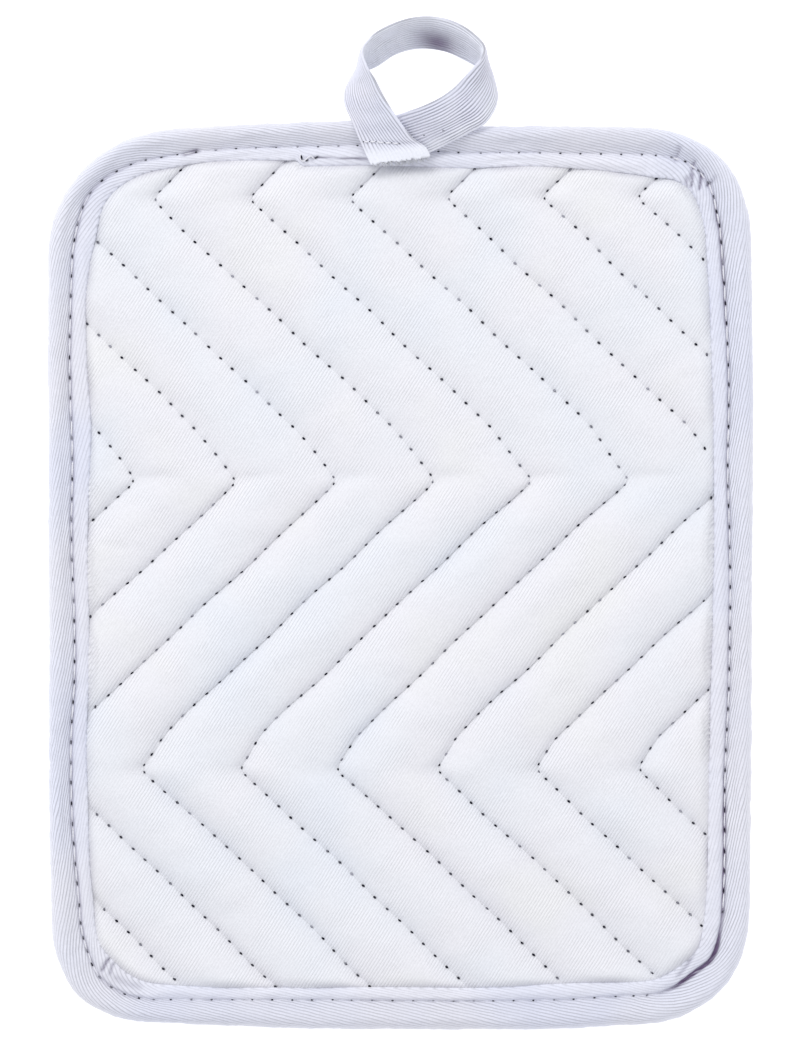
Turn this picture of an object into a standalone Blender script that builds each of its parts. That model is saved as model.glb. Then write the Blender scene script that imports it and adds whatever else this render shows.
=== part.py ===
"""Quilted pot holder, 178 x 229 mm, lying on its back with its hanging loop at +Y.

Three sewn pieces: the quilted pad, the tape that binds its edge and the loop of the same tape.
Lengths are in millimetres up to the last step, which scales each mesh to metres.
X runs across the pad, Y along it, and Z is up from the surface that it lies on.
"""

import bmesh
import bpy
import numpy as np
from mathutils import Vector
from mathutils.geometry import delaunay_2d_cdt

METRE = 0.001  # one millimetre

# Outline of the bound pad.
WIDTH = 178.0
LENGTH = 229.0
CORNER_RADII = {"right top": 28.0, "left top": 34.0, "left bottom": 28.0, "right bottom": 30.5}
CORNERS = (  # name, side of the middle in x and y, angle at which its arc starts
    ("right top", 1, 1, 0.0),
    ("left top", -1, 1, 90.0),
    ("left bottom", -1, -1, 180.0),
    ("right bottom", 1, -1, 270.0),
)
SIDE_STEP = 11.0  # between sections along the sides
CORNER_STEPS = 9  # sections round a corner

# Quilting: zigzag seams that run down the pad, a pitch apart across it.
SEAM_PITCH = 24.8
SEAM_ROWS = (  # y of each bend in a seam, and x of the middle seam there
    ("above the top edge", 117.0, -40.7),
    ("upper point", 95.7, -63.1),
    ("upper knee", 38.0, -2.6),
    ("middle point", 24.3, 8.0),
    ("lower knee", -40.0, -59.6),
    ("lower point", -48.3, -65.2),
    ("below the bottom edge", -120.0, 10.4),
)
SEAM_COUNT = 7  # seams on each side of the middle one
ROW_STEP = 15.8  # between points along a seam
ROW_MARGIN = 3.0  # nearest that such a point comes to the pad's edge
CLOSEST = 1.0  # points of the pad nearer than this become one

# Heights of the filled pad above the surface it lies on.
PILLOW_TOP = 7.5
SEAM_TOP = 4.5
SEAM_UNDER = 1.5
PILLOW_ROUNDNESS = 2.2
UNDER_ROUNDING = 0.45  # share of the half pillow that is lifted beside a seam
SAMPLES = (0.0, 0.18, 0.5, 1.0)  # from a seam to the middle of the pillow beside it

# The pad's edge inside the binding: inset from the outline, top and underside.
PAD_EDGE = (
    ("raw edge", 1.9, 5.2, 3.1),
    ("inside the roll", 4.2, 6.25, 1.55),
    ("under the topstitching", 7.0, 4.05, 3.05),
    ("inside the lip", 9.2, 5.6, 1.5),
    ("at the lip's edge", 12.0, 5.0, 1.5),
)
PAD_RISE = 4.5  # width over which the pillows rise beside the lip

# Binding: the middle of the tape's thickness, from its top edge round to its bottom edge.
TAPE = 1.1
LIP_WAVE = 0.45  # how far the lip's free edge wanders
LIP_WAVES = 23
TAPE_SECTION = (  # inset from the outline, height
    ("upper free edge", 11.3, 6.1),
    ("lip", 9.2, 6.7),
    ("topstitching", 7.0, 5.0),
    ("roll, inner side", 5.2, 6.9),
    ("roll, crown", 3.2, 7.65),
    ("roll, outer side", 1.25, 6.4),
    ("outermost", 0.55, 4.1),
    ("under the outer side", 1.25, 1.8),
    ("under the roll", 3.0, 0.55),
    ("under the inner side", 5.0, 0.55),
    ("topstitching below", 7.0, 2.05),
    ("lower lip", 9.0, 0.55),
    ("lower free edge", 11.3, 0.55),
)

# Hanging loop: a folded tape. Its high edge leans out from its low edge by what is left of the width.
LOOP_WIDTH = 13.0
LOOP_THICKNESS = 1.3
LOOP_STEPS = 38
LOOP_ACROSS = 4
LOOP_CUPPING = 0.35
LOOP_CROSSING = 2.6  # from the tucked end up to the end that lies over it
LOOP_SECTIONS = (  # low edge x, y, z and high edge x, y
    ("cut end", -7.4, 103.8, 9.0, 7.2, 107.2),
    ("tack", -10.0, 109.6, 9.4, 2.0, 112.4),
    ("left leg", -12.5, 115.7, 8.2, -1.4, 117.2),
    ("left bend", -14.3, 120.4, 6.6, -4.4, 121.5),
    ("left rise", -13.8, 123.7, 5.0, -6.7, 125.5),
    ("left turn", -11.7, 126.3, 3.6, -9.2, 130.3),
    ("left top", -9.5, 127.3, 2.6, -9.8, 133.8),
    ("upper left", -5.9, 129.0, 1.8, -6.4, 136.9),
    ("top left", -1.1, 131.8, 1.3, -1.1, 139.8),
    ("top", 4.7, 133.5, 1.2, 5.4, 141.7),
    ("top right", 11.2, 132.8, 1.4, 12.2, 140.9),
    ("upper right", 16.0, 130.7, 1.9, 17.8, 138.1),
    ("right turn", 20.1, 128.3, 2.6, 21.1, 134.8),
    ("right fall", 22.8, 126.0, 3.7, 20.8, 132.1),
    ("right bend", 24.4, 122.5, 5.2, 18.8, 129.3),
    ("right side", 24.1, 118.7, 7.0, 16.3, 126.9),
    ("right leg", 21.6, 114.6, 8.4, 13.8, 124.2),
    ("right over", 17.5, 112.1, 9.2, 10.2, 121.2),
    ("right low", 13.0, 109.8, 9.1, 5.9, 118.9),
    ("right under", 8.7, 107.6, 8.8, 0.9, 117.3),
    ("tucked end", 3.9, 105.5, 8.6, -4.4, 115.4),
)

COLOURS = {  # base colour, roughness
    "twill_white": ((0.83, 0.84, 0.87, 1.0), 0.85),
    "tape_white": ((0.76, 0.77, 0.84, 1.0), 0.8),
    "loop_white": ((0.74, 0.75, 0.83, 1.0), 0.8),
}


def smooth(t):
    """0 to 1 with level ends."""
    t = np.clip(t, 0, 1)
    return t * t * (3 - 2 * t)


def uneven(points):
    """The slight lean and bow of a sewn outline: each point moves by under a millimetre."""
    x, y = points[:, 0], points[:, 1]
    right = smooth(x / WIDTH + 0.5)
    low = smooth(0.5 - y / LENGTH)
    lean = -0.9 * right * low + 0.25 * np.sin(y / 31.0 + 0.4)
    bow = -0.5 * low * np.cos(x / 60.0) + 0.25 * np.sin(x / 27.0) * (1 - low)
    return np.stack([x + lean, y + bow], axis=1)


def side(start, end, inward):
    """Even steps along a straight side, without its two ends."""
    count = round(np.linalg.norm(end - start) / SIDE_STEP)
    share = (np.arange(1, count) / count)[:, None]
    return start * (1 - share) + end * share, np.repeat(inward[None], count - 1, axis=0)


def outline():
    """Points of the outline, turning left from the right side's top, with their inward directions."""
    arcs = []
    for name, side_x, side_y, start in CORNERS:
        radius = CORNER_RADII[name]
        centre = np.array([side_x * (WIDTH / 2 - radius), side_y * (LENGTH / 2 - radius)])
        angles = np.radians(start + np.linspace(0, 90, CORNER_STEPS + 1))
        out = np.stack([np.cos(angles), np.sin(angles)], axis=1)
        arcs.append((centre + radius * out, -out))
    points = []
    inward = []
    for (arc, turned), (following, _) in zip(arcs, arcs[1:] + arcs[:1]):
        straight, square = side(arc[-1], following[0], turned[-1])
        points.extend([arc, straight])
        inward.extend([turned, square])
    return np.concatenate(points), np.concatenate(inward)


def inset(points):
    """How far each point lies inside the outline."""
    x, y = points[:, 0], points[:, 1]
    top = np.where(x > 0, CORNER_RADII["right top"], CORNER_RADII["left top"])
    bottom = np.where(x > 0, CORNER_RADII["right bottom"], CORNER_RADII["left bottom"])
    radius = np.where(y > 0, top, bottom)
    past_x = np.abs(x) - WIDTH / 2 + radius
    past_y = np.abs(y) - LENGTH / 2 + radius
    corner = np.hypot(np.maximum(past_x, 0), np.maximum(past_y, 0))
    return radius - np.minimum(np.maximum(past_x, past_y), 0) - corner


def seam_x(y):
    """x of the middle seam at each height up the pad."""
    rows = np.array([row[1:] for row in SEAM_ROWS])[::-1]
    return np.interp(y, rows[:, 0], rows[:, 1])


def from_seam(points):
    """Distance to the nearest seam, from 0 on it to 1 in the middle of a pillow."""
    turns = (points[:, 0] - seam_x(points[:, 1])) / SEAM_PITCH
    return 2 * np.abs(turns - np.round(turns))


def crossings(shift, ring):
    """y of each pair of points where a line that follows the seams enters and leaves the ring."""
    fine = np.linspace(SEAM_ROWS[0][1], SEAM_ROWS[-1][1], 4001)
    depth = inset(np.stack([seam_x(fine) + shift, fine], axis=1)) - ring
    turns = np.flatnonzero(depth[:-1] * depth[1:] < 0)
    share = depth[turns] / (depth[turns] - depth[turns + 1])
    cuts = fine[turns] + share * (fine[turns + 1] - fine[turns])
    return list(zip(cuts[0::2], cuts[1::2]))


def clear_of(found, more, margin):
    """The values of both lists, without those of the second that lie within the margin of one kept before."""
    kept = list(found)
    for value in more:
        if all(abs(value - other) > margin for other in kept):
            kept.append(value)
    return kept


def along_seams(ring, risen):
    """Lines that follow the seams inside the ring, with a point at each bend, on the risen ring and on even rows."""
    shares = sorted({half * share / 2 for share in SAMPLES for half in (-1, 1)})[1:]
    bends = [row[1] for row in SEAM_ROWS]
    rows = []
    for high, low in zip(bends, bends[1:]):
        rows.extend(np.linspace(high, low, max(1, round((high - low) / ROW_STEP)) + 1)[1:-1])
    lines = []
    for seam in range(-SEAM_COUNT, SEAM_COUNT + 1):
        for share in shares:
            shift = (seam + share) * SEAM_PITCH
            for high, low in crossings(shift, ring):
                if high - low < 2 * ROW_MARGIN:
                    continue
                cuts = [cut for pair in crossings(shift, risen) for cut in pair]
                y = clear_of([high, low], bends, CLOSEST)
                y = clear_of(clear_of(y, cuts, ROW_MARGIN), rows, ROW_MARGIN)
                y = np.array(sorted(value for value in y if low <= value <= high))
                lines.append(np.stack([seam_x(y) + shift, y], axis=1))
    return lines


def pad_plan():
    """Triangles of the pad in plan: rings along its edge, then rows of points that follow the seams."""
    edge, inward = outline()
    rings = [edge + inward * row[1] for row in PAD_EDGE]
    lines = along_seams(PAD_EDGE[-1][1], PAD_EDGE[-1][1] + PAD_RISE)
    ends = np.concatenate([line[[0, -1]] for line in lines])
    apart = np.linalg.norm(rings[-1][:, None] - ends[None], axis=2).min(axis=1)
    last = np.concatenate([ends, rings[-1][apart > ROW_MARGIN]])
    rings[-1] = last[np.argsort(np.arctan2(last[:, 1], last[:, 0]))]
    points = []
    edges = []
    for ring in rings:
        first = len(points)
        points.extend(ring)
        edges.extend((first + i, first + (i + 1) % len(ring)) for i in range(len(ring)))
    for line in lines:
        first = len(points)
        points.extend(line)
        edges.extend((first + i, first + i + 1) for i in range(len(line) - 1))
    flat = [Vector((x, y)) for x, y in points]
    found = delaunay_2d_cdt(flat, edges, [], 0, 1e-4)
    return found[0], found[2]


def pad_heights(points):
    """Top and underside of the pad: pillows between the seams, pressed flat where the binding holds it."""
    depth = inset(points)
    away = from_seam(points)
    inner = PAD_EDGE[-1]
    rise = smooth((depth - inner[1]) / PAD_RISE)
    puff = 1 - (1 - away) ** PILLOW_ROUNDNESS
    held = SEAM_TOP + (inner[2] - SEAM_TOP) * puff
    full = SEAM_TOP + (PILLOW_TOP - SEAM_TOP) * puff
    top = held + (full - held) * rise
    under = SEAM_UNDER * (1 - smooth(away / UNDER_ROUNDING))
    under = np.maximum(under, inner[3] * (1 - rise))
    insets = [row[1] for row in PAD_EDGE]
    edge = depth < inner[1] - 0.01
    top = np.where(edge, np.interp(depth, insets, [row[2] for row in PAD_EDGE]), top)
    under = np.where(edge, np.interp(depth, insets, [row[3] for row in PAD_EDGE]), under)
    return top, under


def new_mesh(name, bm):
    """Turns a bmesh in millimetres into a mesh in metres."""
    bmesh.ops.scale(bm, vec=(METRE, METRE, METRE), verts=bm.verts)
    mesh = bpy.data.meshes.new(name)
    bm.to_mesh(mesh)
    bm.free()
    mesh.shade_smooth()
    return mesh


def quilted_pad():
    """Two quilted faces over their filling, as one sewn-through body."""
    plan, triangles = pad_plan()
    bm = bmesh.new()
    verts = [bm.verts.new((x, y, 0)) for x, y in plan]
    for corners in triangles:
        bm.faces.new([verts[i] for i in corners])
    bmesh.ops.remove_doubles(bm, verts=bm.verts, dist=CLOSEST)
    bmesh.ops.reverse_faces(bm, faces=bm.faces)
    raised = bmesh.ops.extrude_face_region(bm, geom=bm.faces[:])
    upper = {item for item in raised["geom"] if isinstance(item, bmesh.types.BMVert)}
    bm.verts.index_update()
    points = np.array([vert.co[:2] for vert in bm.verts])
    top, under = pad_heights(points)
    moved = uneven(points)
    for vert in bm.verts:
        height = top[vert.index] if vert in upper else under[vert.index]
        vert.co = (*moved[vert.index], height)
    bmesh.ops.recalc_face_normals(bm, faces=bm.faces)
    return new_mesh("quilted_pad", bm)


def thickened(path, thickness):
    """A closed section: the path moved half a thickness to its left, then back on its right."""
    along = np.gradient(path, axis=0)
    along /= np.linalg.norm(along, axis=1)[:, None]
    left = np.stack([-along[:, 1], along[:, 0]], axis=1) * thickness / 2
    return np.concatenate([path + left, (path - left)[::-1]])


def edge_binding():
    """The tape's section carried round the outline, on the rings of a torus."""
    section = thickened(np.array([row[1:] for row in TAPE_SECTION]), TAPE)
    section[:, 1] = np.maximum(section[:, 1], 0)
    edge, inward = outline()
    bpy.ops.mesh.primitive_torus_add(major_segments=len(edge), minor_segments=len(section))
    torus = bpy.context.object
    mesh = torus.data
    bpy.data.objects.remove(torus)
    free = section[:, 0] > max(row[1] for row in TAPE_SECTION) - TAPE
    wave = LIP_WAVE * np.sin(LIP_WAVES * np.arctan2(edge[:, 1], edge[:, 0]))
    depth = section[None, :, 0] + wave[:, None] * free[None]
    plan = edge[:, None] + inward[:, None] * depth[:, :, None]
    flat = uneven(plan.reshape(-1, 2))
    height = np.tile(section[:, 1], len(edge))
    mesh.vertices.foreach_set("co", np.column_stack([flat, height]).ravel() * METRE)
    bm = bmesh.new()
    bm.from_mesh(mesh)
    bmesh.ops.recalc_face_normals(bm, faces=bm.faces)
    bm.to_mesh(mesh)
    bm.free()
    mesh.name = "edge_binding"
    mesh.shade_smooth()
    return mesh


def smooth_rows(rows, count):
    """A curve through the rows, at even steps along it: a cubic between each pair, with each row's mean slope."""
    steps = np.linalg.norm(np.diff(rows, axis=0), axis=1)
    knots = np.concatenate([[0], np.cumsum(steps)])
    slopes = np.gradient(rows, knots, axis=0)
    at = np.linspace(0, knots[-1], count)
    cell = np.clip(np.searchsorted(knots, at, side="right") - 1, 0, len(rows) - 2)
    width = (knots[cell + 1] - knots[cell])[:, None]
    t = (at - knots[cell])[:, None] / width
    start = (1 + 2 * t) * (1 - t) ** 2 * rows[cell] + t * (1 - t) ** 2 * width * slopes[cell]
    end = t**2 * (3 - 2 * t) * rows[cell + 1] + t**2 * (t - 1) * width * slopes[cell + 1]
    return start + end


def loop_edges():
    """Low and high edges of the loop's tape, a tape's width apart."""
    rows = np.array([row[1:] for row in LOOP_SECTIONS])
    low = rows[:, :3]
    apart = np.linalg.norm(rows[:, 3:] - rows[:, :2], axis=1)
    lift = np.sqrt(np.maximum(LOOP_WIDTH**2 - apart**2, 0))
    high = np.column_stack([rows[:, 3:], rows[:, 2] + lift])
    high[0, 2] = low[-1, 2] + LOOP_CROSSING
    both = smooth_rows(np.column_stack([low, high]), LOOP_STEPS + 1)
    return both[:, :3], both[:, 3:]


def hanging_loop():
    """One folded tape bent into a ring, with its two ends crossed on the binding."""
    low, high = loop_edges()
    share = np.linspace(0, 1, LOOP_ACROSS + 1)[None, :, None]
    face = low[:, None] * (1 - share) + high[:, None] * share
    along = np.gradient(face, axis=0)
    out = np.cross((high - low)[:, None], along)
    out /= np.linalg.norm(out, axis=2)[:, :, None]
    face = face + out * LOOP_CUPPING * (1 - (2 * share - 1) ** 2)
    bm = bmesh.new()
    bmesh.ops.create_grid(bm, x_segments=LOOP_STEPS, y_segments=LOOP_ACROSS, size=1)
    order = sorted(bm.verts, key=lambda vert: (round(vert.co.x, 4), round(vert.co.y, 4)))
    for vert, place in zip(order, face.reshape(-1, 3)):
        vert.co = place
    return new_mesh("hanging_loop", bm)


def material(name):
    """A plain cloth finish in the photographed colour."""
    colour, roughness = COLOURS[name]
    made = bpy.data.materials.new(name)
    made.use_nodes = True
    made.diffuse_color = colour
    shader = made.node_tree.nodes["Principled BSDF"]
    shader.inputs["Base Color"].default_value = colour
    shader.inputs["Roughness"].default_value = roughness
    shader.inputs["Metallic"].default_value = 0.0
    return made


def place(collection, name, mesh, finish):
    """One object of the pot holder."""
    made = bpy.data.objects.new(name, mesh)
    made.data.materials.append(material(finish))
    collection.objects.link(made)
    return made


def main():
    for old in list(bpy.data.objects):
        bpy.data.objects.remove(old)
    collection = bpy.data.collections.new("pot_holder")
    bpy.context.scene.collection.children.link(collection)
    place(collection, "quilted_pad", quilted_pad(), "twill_white")
    place(collection, "edge_binding", edge_binding(), "tape_white")
    loop = place(collection, "hanging_loop", hanging_loop(), "loop_white")
    wall = loop.modifiers.new("folded tape", "SOLIDIFY")
    wall.thickness = LOOP_THICKNESS * METRE
    wall.offset = 0
    wall.use_even_offset = True


main()
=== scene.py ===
"""Looks of the quilted pot holder: twill pad, bound edge, hanging loop and their stitching.

Lengths are in millimetres up to the last step, which scales each mesh to metres.
X runs across the pad, Y along it, and Z is up from the surface that it lies on.
Places on the binding are given by the distance round the outline, from the middle of the top
edge to the left, and by the inset from the outline.
"""

import bpy
import numpy as np
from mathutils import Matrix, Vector


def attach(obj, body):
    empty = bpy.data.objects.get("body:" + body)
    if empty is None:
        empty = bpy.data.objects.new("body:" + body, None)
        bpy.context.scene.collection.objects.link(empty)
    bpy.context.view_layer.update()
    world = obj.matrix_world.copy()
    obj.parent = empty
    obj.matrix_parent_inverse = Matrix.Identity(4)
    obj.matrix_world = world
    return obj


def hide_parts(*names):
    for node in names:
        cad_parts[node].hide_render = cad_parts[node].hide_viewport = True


METRE = 0.001  # one millimetre

# Outline of the bound pad.
WIDTH = 178.0
LENGTH = 229.0
CORNER_RADII = {"right top": 28.0, "left top": 34.0, "left bottom": 28.0, "right bottom": 30.5}
CORNERS = (  # name, side of the middle in x and y, angle at which its arc starts
    ("right top", 1, 1, 0.0),
    ("left top", -1, 1, 90.0),
    ("left bottom", -1, -1, 180.0),
    ("right bottom", 1, -1, 270.0),
)
STATION = 0.75  # between sections of the binding

# Quilting: zigzag seams that run down the pad, a pitch apart across it.
SEAM_PITCH = 24.8
SEAM_ROWS = (  # y of each bend in a seam, and x of the middle seam there
    ("above the top edge", 117.0, -40.7),
    ("upper point", 95.7, -63.1),
    ("upper knee", 38.0, -2.0),
    ("middle point", 24.3, 8.5),
    ("below the middle points", -7.0, -25.3),
    ("lower knee", -40.0, -59.9),
    ("lower point", -48.3, -64.9),
    ("below the lower points", -77.0, -33.4),
    ("below the bottom edge", -120.0, 10.2),
)
POINTS = (95.7, 24.3, -48.3)  # y of the rows of points
SEAM_WANDER = (  # seam, then how far it strays in x above, between and below the points
    (-3, -0.7, -1.3, 1.2),
    (-2, -0.4, 0.0, 1.6),
    (-1, -0.2, 0.4, 0.3),
    (0, 0.1, 0.0, -0.1),
    (1, 0.1, -0.5, -0.4),
    (2, 0.5, -0.7, 0.0),
    (3, 0.1, 0.2, 0.1),
    (4, -0.5, 1.4, -0.1),
    (5, -0.9, 2.5, 0.5),
)
SEAM_COUNTS = (-4, 6)  # first and last seam that can reach the pad
ROUNDING = 1.3  # half the length over which a seam turns at a point
SEAM_WOBBLE = 0.22

# Heights of the filled pad above the surface it lies on.
PILLOW_TOP = 7.5
SEAM_TOPS = (4.6, 5.4, 4.6, 4.2)  # in each stretch between rows of points, from the top down
SEAM_UNDER = 1.5
PILLOW_ROUNDNESS = 2.2  # power in the rise of a pillow from a seam
TUCK_ROUNDNESS = 12.0  # and in that of the narrow tuck right beside the seam
TUCKS = (  # share of the rise close to a seam, on the flank right of it and on the one left of it
    ("above the upper points", 0.12, 0.44),
    ("above the middle points", 0.0, 0.04),
    ("above the lower points", 0.10, 0.44),
    ("below the lower points", 0.12, 0.0),
)
SOFT_CREASES = (  # start x, y, end x, y, half width and lift of troughs in the pad's upper face
    ("from the left lip", -80.0, 9.3, -64.0, 6.4, 1.1, -0.32),
    ("from the left lip, lower", -80.0, -1.0, -70.0, -4.5, 1.3, -0.22),
    ("left, below the upper point", -79.0, 38.0, -70.0, 33.0, 1.2, -0.12),
    ("right lip, upper", 78.0, 52.0, 69.0, 49.0, 1.0, -0.16),
    ("right lip, middle", 78.5, -8.0, 71.0, -11.0, 1.0, -0.22),
    ("right lip, low", 78.0, -30.0, 72.0, -31.0, 1.0, -0.18),
    ("right lip, round the middle point", 79.8, 28.0, 77.8, 18.4, 0.7, -0.55),
    ("bottom, right", 30.0, -101.0, 33.0, -95.0, 1.0, -0.15),
)
POINT_FOLD = 0.60  # depth of the fold that runs from each middle point
SEAM_SHADES = (0.12, 0.05, 0.04, 0.05)  # of the line along a seam in each stretch
SEAM_END_SHADE = 0.34  # and where the short upper ends go under the lip
UNDER_ROUNDING = 0.45  # share of half a pitch over which the underside lifts beside a seam
LIP_RISE = 2.9  # width over which a pillow rises beside the lip
LIP_SHADE = (1.15, 0.27)  # half width and strength of the shade beside it
LOWER_LIP = 11.2  # inset of its free edge on the underside
HELD_TOP = 5.2  # the pad's faces under the lip
HELD_UNDER = 1.5
SEWN_TOP = 4.05  # and under the topstitching
SEWN_UNDER = 3.05
PAD_RINGS = (  # share of the way from the binding's edge to the topstitching, height above and below
    (1.0, SEWN_TOP, SEWN_UNDER),
    (0.62, 6.1, 1.7),
    (0.28, 5.2, 3.1),
)

# Ribs of the pad's twill.
PAD_RIB_PITCH = 0.73
PAD_RIB_TURN = 32.0  # degrees from y, clockwise, in which they run

# Mesh of the pad.
PAD_COLUMNS = 11  # from a seam to the middle of a pillow
PAD_CROWDING = 1.35  # how much closer the columns stand beside a seam
PAD_ROW = 0.75
PAD_FOOT = 5.0 - LENGTH / 2  # y of the lowest row
RIM_SHARE = 0.35  # of the way from the topstitching to the lip's free edge, where the grid is cut off
THINNEST = 0.6  # thickness that the pad keeps everywhere

# Stitches.
QUILT_STITCH = 4.2
POINT_STITCH = 1.7  # shortest, at the points
POINT_REACH = 2.0  # height over which stitches are short above and below a point
EDGE_STITCH = 5.1  # of the topstitching
LONGEST = 1.6  # times a stitch: a longer step between holes has no thread
NEEDLE_PULL = 0.30  # depth of the dimple at a needle hole
NEEDLE_REACH = 0.95
PUCKER = 0.10  # height of the pucker that runs out from a stitch
PUCKER_REACH = 3.0
THREAD = 0.19  # radius of the quilting's
EDGE_THREAD = 0.26  # and of the topstitching's
THREAD_SLANT = 0.10  # of the binding's stitches, to each side of their line
HOLE = (0.45, 0.28, 0.22)  # half the length, width and height of the dark lens that paints a needle hole's shadow
HOLE_TURN = (1.0, 0.65, 1.0)  # the holes lie a little flatter across the pad than their seam
HOLE_LIFT = 0.28
HOLE_SHARE = 0.10  # of a stitch, from the middle of its needle hole to where its thread comes out

# Binding: outer edge, topstitching and free edge of the lip, as insets, at each distance round.
BINDING_PLACES = (
    (9.0, -0.8, 5.6, 10.2),
    (22.3, -0.5, 5.7, 10.3),
    (24.2, -0.5, 5.7, 10.2),
    (25.6, -0.4, 5.7, 8.9),
    (27.5, -0.3, 5.8, 8.8),
    (40.0, 0.2, 6.2, 8.8),
    (50.0, 0.8, 6.9, 9.3),
    (58.0, 1.2, 7.8, 10.4),
    (72.0, 0.9, 7.0, 10.0),
    (85.0, 0.5, 5.6, 9.6),
    (100.0, 0.1, 6.3, 11.2),
    (119.0, 0.0, 5.6, 9.1),
    (135.0, -0.2, 5.3, 9.4),
    (150.0, 0.0, 5.7, 10.3),
    (165.0, 0.0, 5.9, 9.9),
    (178.0, 0.0, 5.8, 9.5),
    (200.0, 0.3, 6.6, 10.0),
    (213.0, 0.4, 6.8, 10.1),
    (229.0, 0.5, 6.1, 9.6),
    (245.0, 0.6, 6.2, 10.0),
    (260.0, 0.8, 7.1, 10.4),
    (275.0, 1.0, 8.4, 11.6),
    (286.0, 0.6, 8.5, 11.8),
    (297.0, 0.1, 7.3, 12.5),
    (306.0, 1.3, 7.5, 12.2),
    (316.0, 2.3, 8.0, 11.8),
    (330.0, 1.9, 8.1, 11.0),
    (350.0, 1.1, 8.2, 10.9),
    (382.0, 0.8, 8.1, 11.1),
    (402.0, 0.7, 8.0, 10.9),
    (422.0, 0.8, 8.2, 11.9),
    (441.0, 1.6, 9.0, 12.1),
    (452.0, 0.7, 8.1, 11.4),
    (463.5, -0.45, 7.5, 11.0),
    (470.0, -0.5, 6.2, 10.2),
    (480.0, -0.2, 6.7, 10.8),
    (498.0, -0.3, 6.1, 10.1),
    (518.0, -0.5, 6.2, 9.9),
    (543.0, -0.3, 5.4, 9.6),
    (573.0, 0.0, 5.5, 9.3),
    (595.0, 0.0, 6.3, 9.4),
    (620.0, 0.1, 6.2, 10.0),
    (640.0, 0.3, 7.0, 10.7),
    (655.0, 0.4, 8.0, 11.5),
    (665.0, 0.5, 8.3, 12.0),
    (676.0, 0.1, 6.7, 11.4),
    (683.0, 0.5, 6.5, 11.6),
    (695.0, 1.2, 7.9, 13.2),
    (712.0, 1.0, 8.0, 11.7),
    (728.0, 0.9, 7.7, 10.7),
    (745.0, 0.9, 7.7, 11.1),
)
TAPE = 1.1  # thickness
TAPE_SECTION = (  # stretch, share of it, height: the tape's middle, from its top edge to its bottom edge
    ("lip", 0.95, 5.74),
    ("lip", 0.60, 6.08),
    ("lip", 0.27, 5.9),
    ("lip", 0.0, 5.4),
    ("roll", 0.80, 5.95),
    ("roll", 0.57, 6.95),
    ("roll", 0.35, 7.55),
    ("roll", 0.17, 6.9),
    ("roll", 0.08, 4.5),
    ("roll", 0.17, 1.9),
    ("roll", 0.42, 0.55),
    ("roll", 0.72, 0.55),
    ("lip", 0.0, 1.95),
    ("lower lip", 0.45, 0.55),
    ("lower lip", 1.0, 0.55),
)
LAST_KNOT = len(TAPE_SECTION) - 1
SEWN_KNOTS = (3, 12)  # the rows of the section that the topstitching pulls together
SEWN_PULLS = (-0.20, 0.22)  # how far a stitch pulls them
SECTION_LIP = 15  # rows of points on the lip's outer face
SECTION_OUTSIDE = 36  # on the rest of the outer face
SECTION_SEWN = (-0.6, -0.45, -0.3, -0.15, 0.0, 0.15, 0.3, 0.45, 0.6)  # and beside each sewn row
SECTION_INSIDE = 12  # and on the inner face
END_ROUNDING = (60.0, 90.0, 120.0)  # angles of the points that round a free edge
LIP_SIDE_SHADE = (1.1, 0.13)  # half width and strength of the shade on the lip beside the topstitching
SEWN_TRENCH = (0.40, 0.30)  # half width and depth of the cloth's dip under the topstitching
LIP_DULL = 0.03  # shade of the whole lip
ENDS_SHADE = 0.115  # of the roll along the top and the bottom
RIB_PITCH = 0.77
RIB_BIAS = 13.5  # degrees between the ribs and the tape
BINDING_CREASES = (  # distance round and inset of the middle, half length, half width, lift, shade, turn
    ("pleat beside the loop", 14.8, 8.75, 7.6, 0.22, -0.6, 0.66, -2.5),
    ("its near end", 9.2, 9.05, 2.0, 0.30, -0.4, 0.30, 0.0),
    ("its far end", 20.9, 8.6, 1.5, 0.30, -0.4, 0.30, 34.0),
    ("left top, in the groove", 52.4, 7.2, 2.4, 0.42, -0.4, 0.48, 17.0),
    ("left bottom pleat", 294.5, 10.6, 2.6, 0.7, -0.95, 0.60, -62.0),
    ("left bottom pleat, second", 297.5, 11.0, 2.2, 0.6, -0.6, 0.45, -50.0),
    ("left bottom, along the lip", 306.0, 10.2, 7.0, 1.0, -0.35, 0.26, 4.0),
    ("right bottom, lip's fold", 463.0, 10.3, 6.0, 0.5, -0.6, 0.40, 6.0),
    ("right top gather", 677.0, 8.2, 2.8, 0.5, -0.9, 0.68, -42.0),
    ("right top gather, second", 679.5, 9.6, 2.6, 0.45, -0.8, 0.62, -46.0),
    ("right top gather, third", 682.0, 7.6, 3.0, 0.45, -0.6, 0.50, -60.0),
    ("right top gather, fourth", 675.0, 6.0, 2.0, 0.5, -0.5, 0.36, -80.0),
    ("right top gather, fifth", 689.0, 6.0, 2.4, 0.7, -0.45, 0.30, -80.0),
    ("right top, lip's kink", 680.5, 11.2, 2.6, 0.6, -0.6, 0.45, -40.0),
)
GROOVE_FOLDS = (  # first and last distance round, half width, depth, shade; a deep one hides the stitches
    ("right bottom", 449.0, 483.5, 0.50, 0.28, 0.80),
    ("right, above it", 476.0, 524.0, 0.50, 0.0, 0.45),
    ("right top", 628.0, 676.0, 0.90, 0.0, 0.26),
)
UNDER_LOOP = (-5.5, 7.5)  # stretch of the distance round in which the loop hides the topstitching

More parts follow.
